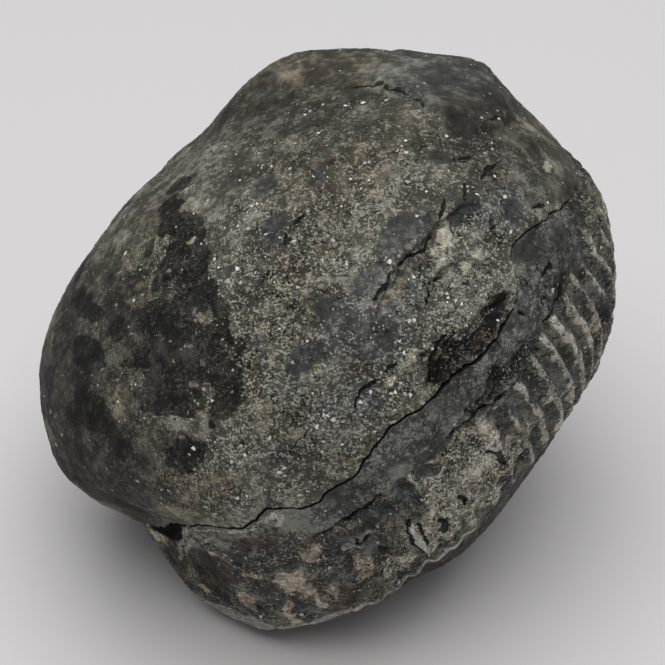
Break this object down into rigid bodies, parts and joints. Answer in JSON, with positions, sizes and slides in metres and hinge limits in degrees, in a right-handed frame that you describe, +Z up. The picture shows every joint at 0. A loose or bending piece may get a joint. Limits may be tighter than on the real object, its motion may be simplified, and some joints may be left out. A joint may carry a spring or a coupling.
{
  "type": "fossil ammonite nodule",
  "caption": "River-worn stone nodule holding a fossil ammonite, split in two fitted halves, with the ribbed outer rim of the shell showing round its lower edge.",
  "frame": {"origin": "on the flat of the worn foot that the nodule rests on, straight under the middle of its parting", "axes": "+Z up as it rests, +X along its long side towards the full ribbed rim, -Y towards its ribbed front"},
  "size_m": [0.0678, 0.0641, 0.0579],
  "materials": {
    "cap_stone": "dark grey-olive river-worn matrix, matt with fine pale grains and darker stains",
    "rib_stone": "dark grey fossil shell and tan-brown rough matrix, matt, ribs worn paler on their crests"
  },
  "bodies": {
    "root": {"matrix_cap": "cap_stone", "ribbed_half": "rib_stone"}
  },
  "joints": []
}
